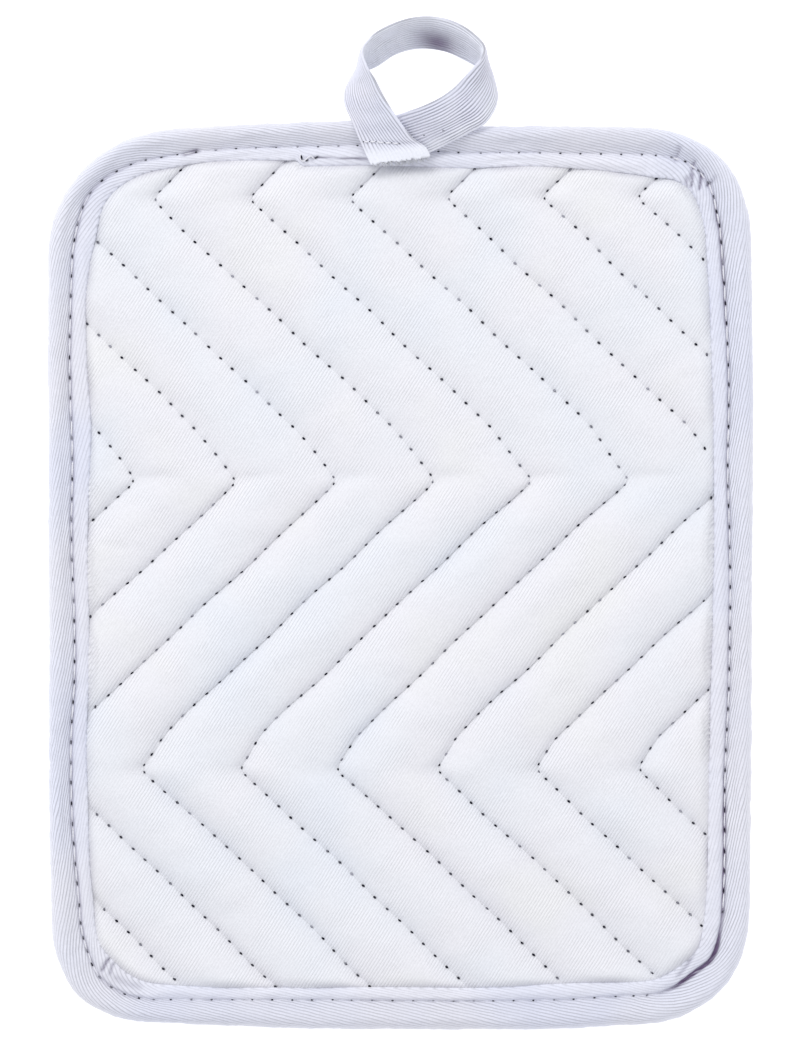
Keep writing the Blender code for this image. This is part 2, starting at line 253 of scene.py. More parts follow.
# Hanging loop: a folded tape. Its high edge leans out from its low edge by what is left of the width.
LOOP_WIDTH = 13.0
LOOP_THICKNESS = 1.05
LOOP_EDGE = 0.5  # thickness at its two edges
LOOP_ROUNDING = (45.0, 90.0, 135.0)  # angles of the points that round them
LOOP_CUPPING = 0.35
LOOP_STEPS = 210
LOOP_RIB = 0.17  # height of a rib's crest above the middle of the cloth's face
LOOP_PITCH = 0.8
LOOP_RIB_POINTS = 6
LOOP_RISES = (2.3, 2.8, 3.0)  # rise of the high edge where the cut end lies over the other one
LOOP_SECTIONS = (  # low edge x, y, z and high edge x, y
    ("cut end", -7.5, 103.9, 9.0, 7.7, 106.0),
    ("frayed stretch", -8.8, 106.6, 9.2, 6.6, 108.1),
    ("tack", -10.1, 109.6, 9.4, 3.8, 110.1),
    ("left leg", -12.4, 115.2, 8.3, -1.0, 116.0),
    ("left bend", -14.2, 119.9, 6.8, -4.1, 120.8),
    ("left rise", -13.8, 123.4, 5.2, -6.3, 125.0),
    ("left turn", -11.9, 126.3, 3.8, -8.6, 129.0),
    ("left top", -9.6, 127.5, 2.7, -9.7, 132.4),
    ("upper left", -6.3, 128.8, 1.9, -7.7, 135.8),
    ("top left", -1.5, 131.9, 1.35, -2.4, 139.2),
    ("top", 4.7, 133.5, 1.2, 5.2, 141.2),
    ("top right", 11.2, 132.8, 1.4, 12.2, 140.4),
    ("upper right", 16.0, 130.7, 1.9, 17.8, 137.4),
    ("right turn", 20.1, 128.3, 2.6, 21.1, 133.6),
    ("right fall", 22.8, 126.0, 3.7, 20.5, 131.0),
    ("right bend", 24.4, 122.5, 5.2, 18.4, 128.4),
    ("right side", 24.1, 118.7, 7.0, 16.0, 125.9),
    ("right leg", 21.6, 114.6, 8.4, 13.6, 123.4),
    ("right over", 17.5, 112.1, 9.2, 10.1, 120.8),
    ("right low", 13.0, 109.8, 9.1, 5.8, 118.7),
    ("right under", 8.7, 107.6, 8.8, 0.8, 117.0),
    ("tucked end", 3.9, 105.5, 8.6, -4.5, 115.2),
)
TACK_TROUGH = (109.4, 0.55, 0.28)  # y, half width and depth of what the tack row presses down
TACK_END = 14.0  # length from the cut end in which the tack row lies
OTHER_LEG = 60.0  # and beyond which the tape is on its other leg
COVERED_FROM = (  # y and x of the edge of the cut end's leg, beside which the other leg is in its shade
    (106.0, 110.0, 116.0, 121.0),
    (8.0, 3.8, -1.0, -4.1),
)
CROSSING_SHADE = (7.0, 0.17)  # half width and strength of that shade
INNER_SHADE = (9.3, 134.9, -20.0)  # x, y and turn of the shade on the inner face of the top
INNER_BELLS = ((0.66, 5.2, 2.6), (0.18, 8.0, 4.2))  # strength, half length and half width of its parts
CUT_END_TACKS = (  # x and y of the needle holes of the row that tacks the loop down
    (-9.3, 109.9),
    (-7.9, 109.8),
    (-6.2, 109.6),
    (-4.0, 109.5),
    (-2.2, 109.3),
    (-0.4, 109.1),
    (1.6, 109.0),
    (3.9, 109.2),
)
OTHER_LEG_TACKS = ((5.9, 111.1), (10.9, 112.6))  # and of those that show on its other leg
YARN_ENDS = 90
YARN = 0.13  # radius of a yarn where it leaves the cut
LOOSE_THREAD = (  # x, y, z of the bends of the knotted end beside the loop
    (-25.2, 106.7, 6.3),
    (-25.3, 105.6, 6.8),
    (-24.6, 104.9, 6.6),
    (-23.6, 105.6, 6.9),
    (-22.6, 106.2, 6.8),
    (-21.9, 105.6, 6.4),
)
LOOSE_HOLES = (  # x, y, z, half length, half width and angle from x of each dark lens of painted shadow in a hole beside it
    (-24.95, 105.8, 6.85, 0.66, 0.24, 97.0),
    (-23.6, 105.1, 6.65, 0.45, 0.22, 33.0),
    (-21.2, 105.85, 6.35, 0.5, 0.20, 36.0),
)

# Colours: tints of each cloth with their place in its broad variation, and the colours they fade to.
TINTS = {
    "pad": (
        (0.30, (0.845, 0.868, 0.925)),
        (0.45, (0.868, 0.878, 0.920)),
        (0.58, (0.880, 0.876, 0.915)),
        (0.72, (0.882, 0.880, 0.895)),
    ),
    "tape": (
        (0.35, (0.787, 0.804, 0.916)),
        (0.50, (0.817, 0.826, 0.916)),
        (0.65, (0.832, 0.832, 0.906)),
    ),
    "loop": (
        (0.35, (0.775, 0.792, 0.905)),
        (0.50, (0.800, 0.806, 0.905)),
        (0.65, (0.825, 0.815, 0.895)),
    ),
}
SHADE_COLOURS = ((0.235, 0.235, 0.32), (0.18, 0.125, 0.235))  # colours of painted shade: in shallow folds, and deep down in others
PALE_COLOUR = (0.90, 0.915, 0.985)  # of thin frayed yarn at the loop's cut end, and painted light on the loop's inner face and on a strip of its other leg

# Studio: what the photograph's frame covers, and its light.
PIXEL = 0.2525  # of the photograph, on the pad
VIEW_HEIGHT = 1054 * PIXEL
VIEW_MIDDLE = (-0.88, 12.6)
CAMERA_HEIGHT = 4000.0
SENSOR = 36.0
KEY_POWER = 11.0  # the soft light from above and to the left, in watts
KEY_PLACE = (-0.47, 1.17, 1.30)  # in metres
KEY_SIZE = 0.85
WORLD_LIGHT = 0.88
FLOOR_GLOW = 0.45
FLOOR_REACH = 1.5
FLOOR_LEVEL = -0.0003


# Shapes that the pieces share


def unit(vectors):
    """The vectors at length one."""
    return vectors / np.linalg.norm(vectors, axis=-1, keepdims=True)


def smooth(t):
    """0 to 1 with level ends."""
    t = np.clip(t, 0, 1)
    return t * t * (3 - 2 * t)


def bell(distance, width, power=2):
    """1 in the middle, falling off to both sides as e to minus (distance / width) to the power."""
    return np.exp(-((np.abs(distance) / width) ** power))


def pairs(x, y):
    """Plan points, or other pairs of numbers, from an array of each."""
    return np.stack(np.broadcast_arrays(x, y), axis=-1)


def turned(x, y, degrees):
    """How far an offset reaches along and across a direction, which is given in degrees from x."""
    angle = np.radians(degrees)
    return x * np.cos(angle) + y * np.sin(angle), y * np.cos(angle) - x * np.sin(angle)


def uneven(points):
    """The slight lean and bow of a sewn outline: each point moves by under a millimetre."""
    x, y = points[..., 0], points[..., 1]
    right = smooth(x / WIDTH + 0.5)
    low = smooth(0.5 - y / LENGTH)
    lean = -0.9 * right * low + 0.25 * np.sin(y / 31.0 + 0.4)
    bow = -0.5 * low * np.cos(x / 60.0) + 0.25 * np.sin(x / 27.0) * (1 - low)
    return pairs(x + lean, y + bow)


def corner_zone(points):
    """Corner radius that holds at each point, and how far it lies past the arc's middle in x and y."""
    x, y = points[..., 0], points[..., 1]
    top = np.where(x > 0, CORNER_RADII["right top"], CORNER_RADII["left top"])
    bottom = np.where(x > 0, CORNER_RADII["right bottom"], CORNER_RADII["left bottom"])
    radius = np.where(y > 0, top, bottom)
    return radius, np.abs(points) - [WIDTH / 2, LENGTH / 2] + radius[..., None]


def inset(points):
    """How far each point lies inside the outline."""
    radius, past = corner_zone(points)
    return radius - np.minimum(past.max(axis=-1), 0) - np.linalg.norm(np.maximum(past, 0), axis=-1)


def inward(points):
    """Unit direction at each point straight away from the nearest stretch of the outline."""
    _, past = corner_zone(points)
    furthest = past.max(axis=-1, keepdims=True)
    return -np.sign(points) * unit(np.where(furthest > 0, np.maximum(past, 0), past == furthest))


def moved_to(points, goal):
    """The points, moved square to the outline until each lies at its goal inset."""
    return points + inward(points) * (goal - inset(points))[:, None]


def outline(step):
    """Points round the outline at even steps, their inward directions and their distance round.

    Arcs and sides follow each other to the left, and the row of points starts at the middle of the top."""
    arcs = []
    for name, side_x, side_y, start in CORNERS:
        radius = CORNER_RADII[name]
        centre = np.array([side_x, side_y]) * [WIDTH / 2 - radius, LENGTH / 2 - radius]
        arcs.append((centre, radius, start))
    points = []
    directions = []
    for (centre, radius, start), (next_centre, next_radius, _) in zip(arcs, arcs[1:] + arcs[:1]):
        count = round(radius * np.pi / 2 / step)
        angles = np.radians(start + np.append(np.linspace(0, 90, count, endpoint=False), 90))
        out = pairs(np.cos(angles), np.sin(angles))
        first = centre + radius * out[-1]
        last = next_centre + next_radius * out[-1]
        share = np.linspace(0, 1, round(np.linalg.norm(last - first) / step), endpoint=False)[:, None]
        points += [centre + radius * out[:-1], first * (1 - share) + last * share]
        directions += [-out[:-1], -out[-1:] + 0 * share]
    points = np.concatenate(points)
    first = np.argmin(np.hypot(points[:, 0], points[:, 1] - LENGTH / 2))
    points = np.roll(points, -first, axis=0)
    directions = np.roll(np.concatenate(directions), -first, axis=0)
    return points, directions, lengths(np.append(points, points[:1], axis=0))


def lengths(points):
    """Length along a row of points up to each one."""
    return np.concatenate([[0], np.cumsum(np.linalg.norm(np.diff(points, axis=0), axis=1))])


EDGE, EDGE_IN, ROUND = outline(STATION)
STATIONS = ROUND[:-1]
AROUND = ROUND[-1]  # length of the outline


def curve(knots, rows, at):
    """A curve through the rows: a cubic between each pair of knots, with each row's mean slope."""
    slopes = np.gradient(rows, knots, axis=0)
    cell = np.clip(np.searchsorted(knots, at, side="right") - 1, 0, len(rows) - 2)
    wide = at.shape + (1,) * (rows.ndim - 1)
    width = (knots[cell + 1] - knots[cell]).reshape(wide)
    t = (at - knots[cell]).reshape(wide) / width
    start = (1 + 2 * t) * (1 - t) ** 2 * rows[cell] + t * (1 - t) ** 2 * width * slopes[cell]
    end = t**2 * (3 - 2 * t) * rows[cell + 1] + t**2 * (t - 1) * width * slopes[cell + 1]
    return start + end


def binding_at(distance):
    """Insets of the binding's outer edge, topstitching and free edge, on a curve through the places."""
    rows = np.array(BINDING_PLACES)
    turn = [[AROUND, 0, 0, 0]]
    rows = np.concatenate([rows[-2:] - turn, rows, rows[:2] + turn])
    return np.moveaxis(curve(rows[:, 0], rows[:, 1:], distance), -1, 0)


def distance_round(points):
    """Distance round of the outline's point nearest to each point."""
    apart = (EDGE**2).sum(axis=1)[None] - 2 * points.reshape(-1, 2) @ EDGE.T
    return ROUND[apart.argmin(axis=1)].reshape(points.shape[:-1])


def waves(points, length, seed, count=18):
    """Soft random rise and fall of about one: sines of nearby lengths in random directions, added up."""
    draw = np.random.default_rng(seed)
    angle = draw.uniform(0, np.pi, count)
    size = 2 * np.pi / (length * draw.uniform(0.7, 1.5, count))
    phase = draw.uniform(0, 2 * np.pi, count)
    total = 0
    for turn, wide, start in zip(angle, size, phase):
        across = points[..., 0] * np.cos(turn) + points[..., 1] * np.sin(turn)
        total = total + np.sin(across * wide + start)
    return total * np.sqrt(2 / count)


# The quilting's seams


def seam_x(y):
    """x of the middle seam, with its points rounded: the mean of the zigzag over a short stretch."""
    rows = np.array([row[1:] for row in SEAM_ROWS])[::-1]
    shifts = np.linspace(-ROUNDING, ROUNDING, 7)
    return sum(np.interp(y + shift, rows[:, 0], rows[:, 1]) for shift in shifts) / len(shifts)


def by_stretch(values, y, easing):
    """The value of the stretch between rows of points at each height, eased from one to the next."""
    here = values[0]
    for level, above, below in zip(POINTS, values, values[1:]):
        here = here + (below - above) * smooth((level - y) / easing + 0.5)
    return here


def by_point(y):
    """1 at the height of a row of points, and 0 a stitch above and below it."""
    return bell(y[..., None] - POINTS, POINT_REACH).max(axis=-1)


def line_x(turns, y):
    """x of the line that many pitches right of the middle seam, with the table's stray and a wobble."""
    rows = np.array(SEAM_WANDER)
    strayed = [np.interp(turns, rows[:, 0], rows[:, i]) for i in (1, 1, 2, 3)]
    stray = by_stretch(strayed, y, easing=45.0) + waves(pairs(turns * 37.0, y), 19.0, 11) * SEAM_WOBBLE
    return seam_x(y) + turns * SEAM_PITCH + stray


def on_line(turns, y):
    """Points of that line at each y."""
    return pairs(line_x(turns, y), y)


def stitch_counts():
    """Stitches sewn from the foot of each seam up to each height: length along it over the stitch there."""
    fine = np.arange(-LENGTH / 2, LENGTH / 2, 0.25)
    seams = np.arange(SEAM_COUNTS[0], SEAM_COUNTS[1] + 1)
    x = line_x(seams[:, None].astype(float), fine[None])
    steps = np.hypot(np.diff(x, axis=1), np.diff(fine)[None])
    stitch = QUILT_STITCH - (QUILT_STITCH - POINT_STITCH) * by_point(fine)
    total = np.cumsum(steps / stitch[None, 1:], axis=1)
    start = np.random.default_rng(5).uniform(0, 1, len(seams))
    return seams, fine, np.concatenate([np.zeros((len(seams), 1)), total], axis=1) + start[:, None]


SEAMS, FINE_Y, COUNTS = stitch_counts()


def beside_seam(turns, y):
    """Distance to the nearest seam, square to it, and the stitch count where that square meets it."""
    seam = np.round(turns)
    sideways = line_x(turns, y) - line_x(seam, y)
    slope = (seam_x(y + 1.5) - seam_x(y - 1.5)) / 3.0
    foot = y + sideways * slope / (1 + slope**2)
    count = np.zeros(y.shape)
    for number, total in zip(SEAMS, COUNTS):
        here = seam == number
        count[here] = np.interp(foot[here], FINE_Y, total)
    return np.abs(sideways) / np.sqrt(1 + slope**2), count


def pull(count, sharpness=3.0):
    """1 at each needle hole and 0 between holes: a raised cosine of the stitch count."""
    return (0.5 + 0.5 * np.cos(2 * np.pi * count)) ** sharpness


# The pad


def lip_depth(points):
    """Distance inwards from the lip's free edge and share of the way from the topstitching to that edge."""
    depth = inset(points)
    near = depth < 26
    sewn = np.zeros(depth.shape)
    free = np.full(depth.shape, 11.0)
    _, sewn[near], free[near] = binding_at(distance_round(points[near]))
    return depth - free, (depth - sewn) / (free - sewn)


def crease(points, start, end, width):
    """1 along the line from start to end, falling off as a bell to both sides and eased at its ends."""
    along = np.subtract(end, start)
    length = np.linalg.norm(along)
    offset = points - start
    forward, sideways = turned(offset[..., 0], offset[..., 1], np.degrees(np.arctan2(along[1], along[0])))
    ends = smooth((forward + 1.0) / (0.35 * length)) * smooth((length - forward) / (0.45 * length))
    return bell(sideways, width) * ends


def point_folds(turns, y):
    """The soft fold that runs from each middle point into the pillow on its right."""
    right = turns - np.floor(turns)
    along = smooth(right / 0.06) * smooth((0.62 - right) / 0.5)
    return bell(y - POINTS[1] - 0.8 - 2.2 * right, 1.5) * along


def stitch_pulls(turns, points, depth):
    """Dimples at the needle holes, puckers that run out from them, and the stitch count."""
    distance, count = beside_seam(turns, points[..., 1])
    shown = smooth(depth / 2.0 + 0.4)
    dimples = pull(count) * bell(distance, NEEDLE_REACH) * shown
    puckers = (pull(count, 1.5) - 0.4) * bell(distance, PUCKER_REACH, 1.4) * shown
    return dimples, puckers, count


def drawn_to(height, level, share):
    """The height, drawn to the level at the topstitching along the share of the way from there."""
    return height + (level - height) * smooth(np.clip(1 - share, 0, 1) * 1.2) ** 1.5


def pad_top(turns, points):
    """Height of the upper face.

    With t from 0 at a seam to 1 in the middle of a pillow, the pillow rises as 1 - (1 - t)^2.2, and a share
    of the rise lies in a narrow tuck at the seam, which is 1 - (1 - t)^12. From the lip's edge it rises as
    1 - (1 - t)^2, with t from 0 there to 1 a few millimetres inwards.
    Each needle hole pulls a dimple, and shallow puckers run out from the stitches. At the topstitching the
    cloth is drawn down to the sewn level."""
    y = points[..., 1]
    seam = np.round(turns)
    away = 2 * np.abs(turns - seam)
    depth, share = lip_depth(points)
    dimples, puckers, count = stitch_pulls(turns, points, depth)
    right = smooth(0.5 + (turns - seam) / 0.12)
    tuck_right, tuck_left = (by_stretch([row[side] for row in TUCKS], y, easing=5.0) for side in (1, 2))
    tuck = tuck_left + (tuck_right - tuck_left) * right
    seam_top = by_stretch(SEAM_TOPS, y, easing=12.0)
    puff = 1 - (1 - tuck) * (1 - away) ** PILLOW_ROUNDNESS - tuck * (1 - away) ** TUCK_ROUNDNESS
    fullness = 1 + 0.07 * waves(points, 46.0, 21) + 0.035 * waves(points, 17.0, 22)
    rise = 1 - (1 - np.clip((depth + 0.15) / LIP_RISE, 0, 1)) ** 2.0
    full = seam_top + (PILLOW_TOP - seam_top) * puff * fullness
    height = HELD_TOP + (full - HELD_TOP) * rise
    height = drawn_to(height, SEWN_TOP, share)
    uneven_pull = 0.75 + 0.45 * np.sin(seam * 2.1 + np.round(count) * 2.7)
    height = height - NEEDLE_PULL * dimples - PUCKER * puckers * uneven_pull
    height = height - POINT_FOLD * point_folds(turns, y) * rise * puff
    for _, x0, y0, x1, y1, width, lift in SOFT_CREASES:
        height = height + lift * crease(points, (x0, y0), (x1, y1), width) * rise
    return height + (0.05 * waves(points, 7.0, 23) + 0.02 * waves(points, 2.6, 24)) * puff * rise


def pad_under(turns, points):
    """Height of the underside: flat where it lies, lifted beside the seams and under the binding."""
    depth, share = lip_depth(points)
    dimples, puckers, _ = stitch_pulls(turns, points, depth)
    lift = SEAM_UNDER * (1 - smooth(2 * np.abs(turns - np.round(turns)) / UNDER_ROUNDING))
    rise = smooth((inset(points) - LOWER_LIP - 0.3) / LIP_RISE)
    height = drawn_to(np.maximum(lift, HELD_UNDER * (1 - rise)), SEWN_UNDER, share)
    dents = np.maximum(waves(points, 9.0, 31), 0) * 0.10 + np.maximum(waves(points, 3.4, 32), 0) * 0.03
    return np.maximum(height + 0.25 * dimples + 0.08 * puckers + dents * rise, 0)


def placed(name, data, place=(0.0, 0.0, 0.0)):
    """A new object in the scene, at a place in metres."""
    made = bpy.data.objects.new(name, data)
    made.location = place
    bpy.context.scene.collection.objects.link(made)
    return made


def surface_mesh(name, points, faces, uv=None, **values):
    """A mesh object from points in millimetres and faces of any size; uv holds a place for each face corner.

    Other values are numbers for each point, under their own names."""
    mesh = bpy.data.meshes.new(name)
    mesh.from_pydata((points * METRE).tolist(), [], faces)
    mesh.shade_smooth()
    for label, numbers in values.items():
        layer = mesh.attributes.new(label, "FLOAT", "POINT")
        layer.data.foreach_set("value", numbers.ravel().astype(np.float32))
    if uv is not None:
        layer = mesh.uv_layers.new(name="along_tape")
        layer.data.foreach_set("uv", (uv * METRE).ravel().astype(np.float32))
    mesh.validate()
    return placed(name, mesh)


def pad_shade(turns, points):
    """Soft shade beside the lip's free edge and of the line along each seam, deepest at its upper end."""
    depth, _ = lip_depth(points)
    width, strength = LIP_SHADE
    beside_lip = strength * (1 + 0.35 * waves(points, 14.0, 25)) * bell(np.maximum(depth, 0), width)
    y = points[..., 1]
    ends = SEAM_END_SHADE * bell(depth, 4.0) * smooth((y - POINTS[0]) / 3.0)
    on_seam = (turns == np.round(turns)) & (depth > 0)
    return beside_lip + (by_stretch(SEAM_SHADES, y, easing=5.0) + ends) * on_seam


def quilted_cloth():
    """The pad's two faces and its edge, as one closed form.

    A grid follows the seams: columns a share of the pitch apart, crowded towards each seam, and even rows.
    It is cut off under the lip, its outer points move onto the line of the cut, and three rings lead from
    there to the raw edge."""
    half = 0.5 * (np.arange(1, PAD_COLUMNS + 1) / PAD_COLUMNS) ** PAD_CROWDING
    shares = np.concatenate([-half[-2::-1], [0.0], half])
    turns = (np.arange(SEAM_COUNTS[0], SEAM_COUNTS[1] + 1)[:, None] + shares).ravel()
    turns, y = np.meshgrid(turns, np.arange(PAD_FOOT, LENGTH / 2 - 4.6, PAD_ROW), indexing="ij")
    plan = on_line(turns, y)
    depth = inset(plan)
    limit = np.full(depth.shape, 6.5)
    edge_zone = (depth > 2) & (depth < 14)
    _, sewn, free = binding_at(distance_round(plan[edge_zone]))
    limit[edge_zone] = sewn + RIM_SHARE * (free - sewn)
    number = np.arange(depth.size).reshape(depth.shape)
    cells = np.stack([number[:-1, :-1], number[1:, :-1], number[1:, 1:], number[:-1, 1:]], axis=-1)
    kept = (depth > limit).ravel()[cells].all(axis=-1)
    used, quads = np.unique(cells[kept], return_inverse=True)
    quads = quads.reshape(-1, 4)
    flat = plan.reshape(-1, 2)[used]
    turns = turns.ravel()[used]

    sides = np.concatenate([quads[:, [i, (i + 1) % 4]] for i in range(4)])
    keys = np.sort(sides, axis=1) @ [len(flat), 1]
    _, first, times = np.unique(keys, return_index=True, return_counts=True)
    rim = sides[first[times == 1]]
    outer = np.unique(rim)
    points = flat.copy()
    points[outer] = moved_to(points[outer], limit.ravel()[used][outer])

    top = pad_top(turns, points)
    layers = [(points, top), (points, np.minimum(pad_under(turns, points), top - THINNEST))]
    edge, sewn, _ = binding_at(distance_round(points[outer]))
    for share, high, low in PAD_RINGS:
        ring = moved_to(points[outer], edge + (sewn - edge) * share)
        layers += [(ring, np.full(len(ring), high)), (ring, np.full(len(ring), low))]
    starts = np.cumsum([0] + [len(place) for place, _ in layers])
    slot_of = np.zeros(len(points), int)
    slot_of[outer] = np.arange(len(outer))
    faces = [quads, quads[:, ::-1] + starts[1]]
    upper, lower = rim, rim + starts[1]
    for start_up, start_down in zip(starts[2:-1:2], starts[3:-1:2]):
        further_up = slot_of[rim] + start_up
        further_down = slot_of[rim] + start_down
        faces.append(np.column_stack([upper[:, ::-1], further_up]))
        faces.append(np.column_stack([lower, further_down[:, ::-1]]))
        upper, lower = further_up, further_down
    faces.append(np.column_stack([upper[:, ::-1], lower]))
    whole = np.concatenate([np.column_stack([uneven(place), height]) for place, height in layers])
    shade = np.zeros(len(whole))
    shade[:len(flat)] = pad_shade(turns, flat)
    return surface_mesh("pad_cloth", whole, np.concatenate(faces).tolist(), fold_shade=shade)


# The binding


def through(rows, at):
    """The curve through each section's rows, read at the given row numbers."""
    rows = np.moveaxis(rows, -2, 0)
    return np.moveaxis(curve(np.arange(len(rows), dtype=float), rows, at), 0, -2)


def tape_middle(distance):
    """Knots of the tape's middle line at each distance round, as insets and heights.

    The knots rise and fall softly, and the topstitching pulls the sewn ones together at each needle hole."""
    edge, sewn, free = binding_at(distance)
    spot = pairs(distance, 0.0)
    stretch = {"roll": (edge, sewn), "lip": (sewn, free), "lower lip": (sewn, LOWER_LIP)}
    tight = pull(distance / AROUND * round(AROUND / EDGE_STITCH), 1.5)
    rows = []
    for number, (name, share, height) in enumerate(TAPE_SECTION):
        start, end = stretch[name]
        if number in SEWN_KNOTS:
            lift = SEWN_PULLS[SEWN_KNOTS.index(number)] * tight
        else:
            lift = (0.12 if number else 0.048) * (height > 1.0) * waves(spot + 100.0 * number, 24.0, 42)
        rows.append(pairs(start + (end - start) * share, height + lift))
    return np.stack(rows, axis=-2)


def tape_face(at, thickness):
    """Points of one face of the tape: its middle line, moved square to itself by half the thickness."""
    knots = tape_middle(STATIONS)
    along = unit(through(knots, np.minimum(at + 0.02, LAST_KNOT)) - through(knots, np.maximum(at - 0.02, 0)))
    out = pairs(along[..., 1], -along[..., 0])
    return through(knots, at) + out * thickness / 2, out, along


def binding_folds(distance, across):
    """Lift and shade of the gathers and pleats on the binding's upper side: bells, eased at both ends."""
    lift = 0
    shade = 0
    for _, where, level, half, width, rise, dark, turn in BINDING_CREASES:
        forward, sideways = turned(distance - where, across - level, turn)
        fold = bell(sideways, width) * smooth((half - np.abs(forward)) / (0.5 * half) + 0.3)
        lift = lift + rise * fold
        shade = shade + dark * fold
    return lift, shade


def section_rows():
    """Row numbers of the section's points on the outer face, closer together beside the sewn rows."""
    sewn = [knot + np.array(SECTION_SEWN) for knot in SEWN_KNOTS]
    lip = np.linspace(0, SEWN_KNOTS[0], SECTION_LIP, endpoint=False)
    even = np.concatenate([lip, np.linspace(SEWN_KNOTS[0], LAST_KNOT, SECTION_OUTSIDE)])
    clear = np.min([np.abs(even - knot) for knot in SEWN_KNOTS], axis=0) > SECTION_SEWN[-1] + 0.1
    return np.sort(np.concatenate([even[clear], *sewn]))


OUTER_ROWS = section_rows()


def outer_face():
    """The binding's outer face: insets and heights of its points, their ways out and its shade."""
    outside, out, _ = tape_face(OUTER_ROWS, TAPE)
    across = outside[..., 0]
    spot = pairs(STATIONS[:, None], OUTER_ROWS[None] * 2.6)
    upper = smooth((9.0 - OUTER_ROWS) / 1.5)
    folds, shade = (upper * value for value in binding_folds(STATIONS[:, None], across))
    soft = 0.055 * waves(spot, 6.5, 43) + 0.03 * waves(spot, 2.5, 44)
    soft = soft * smooth((outside[..., 1] - 1.2) / 1.0)
    side = np.abs(EDGE_IN[:, :1])
    beside = across - across[:, OUTER_ROWS == SEWN_KNOTS[0]]
    on_top = OUTER_ROWS < 6
    near = bell(beside, SEWN_TRENCH[0], 4) * on_top
    trench = SEWN_TRENCH[1] * near * (0.35 + 0.65 * side)
    wide, side_shade_strength = LIP_SIDE_SHADE
    # painted shade in the groove under the topstitching, and a wider painted shade on the lip beside it
    shade = shade + near * (0.05 + 0.27 * side) + side_shade_strength * side * bell(beside, wide) * (beside > 0)
    shade = shade + ENDS_SHADE * (1 - side) * (OUTER_ROWS > SEWN_KNOTS[0])
    shade = shade + LIP_DULL * (OUTER_ROWS < SEWN_KNOTS[0])
    for _, first, last, width, depth, dark in GROOVE_FOLDS:
        ends = smooth(np.minimum(STATIONS - first, last - STATIONS)[:, None] / (0.3 * (last - first)))
        fold = bell(beside, width * (0.5 + 0.5 * ends)) * ends * on_top
        trench = trench + depth * fold
        shade = shade + dark * fold * (1 + 0.3 * waves(spot * [0.3, 1.0], 1.2, 45))
    return outside + out * (folds + soft - trench)[..., None], out, np.clip(shade, 0, 1)


OUTSIDE, OUTWARD, FOLDED_SHADE = outer_face()


def rounded(middle, out, across, radius, angles):
    """Points round a free edge: they turn from the way out to the way across at each angle."""
    angles = np.radians(angles)[:, None]
    return middle + radius * (out * np.cos(angles) + across * np.sin(angles))


def ring_faces(rows, columns, steps):
    """Faces between rows of points that are each closed on themselves, a face for each step and column."""
    here = np.arange(steps)[:, None]
    column = np.arange(columns)[None]
    corners = [
        (here + ahead) % rows * columns + (column + aside) % columns
        for ahead, aside in ((0, 0), (1, 0), (1, 1), (0, 1))
    ]
    return np.stack(corners, axis=-1).reshape(-1, 4)


TURNED_ROUND = [0, 3, 2, 1]  # a face's corners the other way round


def tape_places(along, across):
    """Place on the flat tape of each corner of those faces, from its lengths along and across the tape."""
    grid = pairs(along[:, None], across)
    return np.stack([grid[:-1, :-1], grid[1:, :-1], grid[1:, 1:], grid[:-1, 1:]], axis=2).reshape(-1, 4, 2)


def binding_tape():
    """The tape round the edge: its section carried along the outline, its free edges rounded.

    Its lip is pressed flat with an iron between the topstitching and its free edge, most of all along the
    straight sides, and its ribs are flatter towards the outer edge and along the top and the bottom."""
    inside_at = np.linspace(LAST_KNOT, 0, SECTION_INSIDE)
    free_edges = []
    for at, way in ((LAST_KNOT, 1), (0, -1)):
        middle, out, along = tape_face(np.array([float(at)]), 0.0)
        free_edges.append(rounded(middle, out, way * along, TAPE / 2, END_ROUNDING[::way]))
    parts = [OUTSIDE, free_edges[0], tape_face(inside_at, -TAPE)[0], free_edges[1]]
    section = np.concatenate(parts, axis=1)
    section[..., 1] = np.maximum(section[..., 1], 0)
    plan = EDGE[:, None] + EDGE_IN[:, None] * section[..., :1]
    points = np.concatenate([uneven(plan), section[..., 1:]], axis=-1).reshape(-1, 3)
    rows, columns = section.shape[:2]
    outer = len(OUTER_ROWS)
    first = outer + len(END_ROUNDING)
    last = first + SECTION_INSIDE
    across = lengths(section.mean(axis=0)[:outer])
    places = np.zeros(columns + 1)
    places[:outer] = across
    places[outer:first] = across[-1]
    places[first:last] = np.interp(inside_at, OUTER_ROWS, across)
    shade = np.zeros((rows, columns))
    shade[:, :outer] = FOLDED_SHADE
    lip = np.zeros(columns)
    lip[:outer] = smooth((SEWN_KNOTS[0] + 0.4 - OUTER_ROWS) / 0.6)
    lip[last:] = 1
    rolled = np.zeros((1, columns))
    rolled[:, :outer] = 0.45 * smooth((OUTER_ROWS - 4.5) / 3.5)
    rolled = np.maximum(rolled, 0.25 * (1 - np.abs(EDGE_IN[:, :1])))
    straight = smooth((np.abs(EDGE_IN).max(axis=1, keepdims=True) - 0.93) / 0.07)
    ironed = rolled + (0.4 + 0.2 * straight - rolled) * lip
    faces = ring_faces(rows, columns, rows).tolist()
    uv = tape_places(ROUND, places[None])
    return surface_mesh("binding_tape", points, faces, uv, fold_shade=shade, ironed=ironed)


def on_binding(distance, knot):
    """Points on the tape's outer face at a sewn row, with the way up from the cloth there."""
    column = np.flatnonzero(OUTER_ROWS == knot)[0]
    plan = uneven(EDGE + EDGE_IN * OUTSIDE[:, column, :1])
    up = EDGE_IN * OUTWARD[:, column, :1]
    rows = np.column_stack([plan, OUTSIDE[:, column, 1], up, OUTWARD[:, column, 1]])
    found = np.stack([np.interp(distance, STATIONS, row, period=AROUND) for row in rows.T], axis=1)
    return found[:, :3], unit(found[:, 3:])


# The loop


def smooth_rows(rows, count):
    """The curve through the rows, at even steps along it."""
    knots = lengths(rows)
    return curve(knots, rows, np.linspace(0, knots[-1], count))


